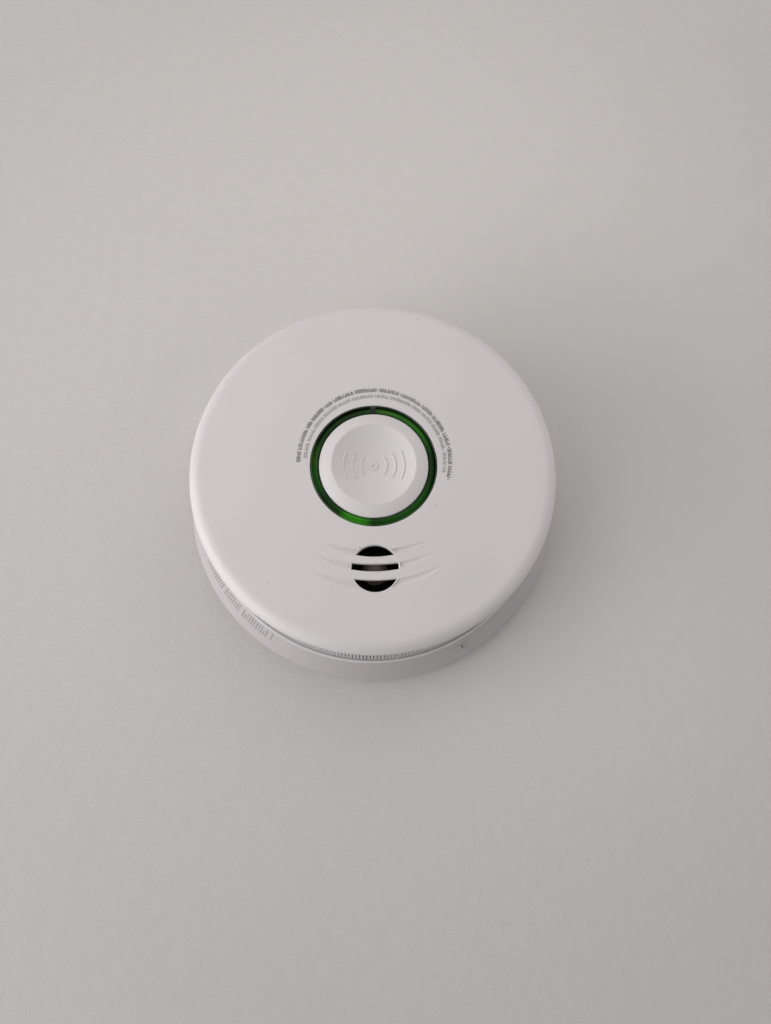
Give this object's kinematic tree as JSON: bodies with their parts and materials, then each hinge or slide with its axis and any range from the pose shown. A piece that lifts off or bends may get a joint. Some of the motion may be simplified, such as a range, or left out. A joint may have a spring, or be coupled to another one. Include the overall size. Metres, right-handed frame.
{
  "type": "smoke and carbon monoxide alarm",
  "caption": "Round white wall alarm with a lit ring round a dished test button, a sounder grille, rim smoke inlets, a flared skirt and a twist-lock mounting plate.",
  "frame": {"origin": "centre of the mounting plate's rear face, on the wall plane", "axes": "+Z out of the wall along the alarm's axis, +Y towards the top of the alarm on a wall, with the sounder grille on the -Y side"},
  "size_m": [0.142, 0.142, 0.0441],
  "materials": {
    "plate_plastic": "matte",
    "housing_plastic": "matte",
    "cover_plastic": "matte",
    "button_plastic": "matte",
    "carrier_plastic": "matte",
    "ring_lens": "polished",
    "spring_steel": "drawn",
    "screw_steel": "plated",
    "switch_black": "matte",
    "switch_plunger": "matte",
    "board_green": "solder mask",
    "led_clear": "clear",
    "chamber_black": "matte",
    "screen_steel": "etched",
    "emitter_blue": "clear tinted",
    "diode_black": "dark tinted",
    "cell_aluminium": "satin",
    "cell_cap": "matte",
    "tin_brass": "tinned",
    "sounder_black": "matte",
    "piezo_brass": "lapped",
    "piezo_ceramic": "silvered",
    "gasket_rubber": "foam",
    "battery_sleeve": "shrink sleeve",
    "strap_black": "matte",
    "nickel_tab": "nickel",
    "lead_red": "wire sleeve",
    "inlet_white": "matte",
    "capacitor_box": "moulded",
    "varistor_blue": "epoxy dipped",
    "capacitor_can": "sleeved",
    "chip_black": "moulded",
    "choke_black": "ferrite",
    "slider_plastic": "matte",
    "dial_plastic": "matte",
    "label_paper": "printed blank"
  },
  "bodies": {
    "wall_plate": {"mounting_plate": "plate_plastic"},
    "alarm": {"activation_switch": "switch_black", "battery_cell_left": "battery_sleeve", "battery_cell_right": "battery_sleeve", "battery_leads": "lead_red", "battery_straps": "strap_black", "battery_tabs": "nickel_tab", "board_screws": "screw_steel", "button_spring": "spring_steel", "chamber_base": "chamber_black", "chamber_cap": "chamber_black", "circuit_board": "board_green", "co_cell": "cell_aluminium", "co_cell_cap": "cell_cap", "co_cell_pins": "tin_brass", "deactivation_switch": "switch_black", "electrolytic_capacitors": "capacitor_can", "film_capacitor": "capacitor_box", "filter_choke": "choke_black", "front_cover": "cover_plastic", "housing_screws": "screw_steel", "infrared_emitter": "emitter_blue", "insect_screen": "screen_steel", "light_ring": "ring_lens", "mains_inlet": "inlet_white", "mains_pins": "tin_brass", "microcontroller": "chip_black", "photodiode": "diode_black", "piezo_ceramic": "piezo_ceramic", "piezo_plate": "piezo_brass", "rating_label": "label_paper", "rear_housing": "housing_plastic", "ring_carrier": "carrier_plastic", "sounder_back_cap": "sounder_black", "sounder_driver": "chip_black", "sounder_gasket": "gasket_rubber", "sounder_housing": "sounder_black", "status_leds": "led_clear", "test_switch_body": "switch_black", "varistor": "varistor_blue"},
    "button": {"test_button": "button_plastic"},
    "plunger": {"test_switch_plunger": "switch_plunger"},
    "slider": {"activation_slider": "slider_plastic"},
    "dial": {"deactivation_dial": "dial_plastic"}
  },
  "joints": [
    {"name": "twist_lock", "type": "hinge", "parent": "wall_plate", "child": "alarm", "pos_m": [0, 0, 0], "axis": [0, 0, 1], "range_deg": [0, 15]},
    {"name": "button_press", "type": "slide", "parent": "alarm", "child": "button", "axis": [0, 0, -1], "range_m": [0, 0.0012], "stiffness_N_per_m": 800, "springref_m": -0.002, "deforming": ["button_spring"]},
    {"name": "switch_plunger", "type": "slide", "parent": "alarm", "child": "plunger", "axis": [0, 0, -1], "range_m": [0, 0.0012]},
    {"name": "activation_slider", "type": "hinge", "parent": "alarm", "child": "slider", "pos_m": [0, 0, 0], "axis": [0, 0, 1], "range_deg": [-15, 0]},
    {"name": "deactivation_dial", "type": "hinge", "parent": "alarm", "child": "dial", "pos_m": [-0.0192, -0.0215, 0], "axis": [0, 0, -1], "range_deg": [0, 90]}
  ],
  "couplings": [
    {"joint": "switch_plunger", "follows": "button_press", "ratio": 1},
    {"joint": "activation_slider", "follows": "twist_lock", "ratio": -1}
  ]
}
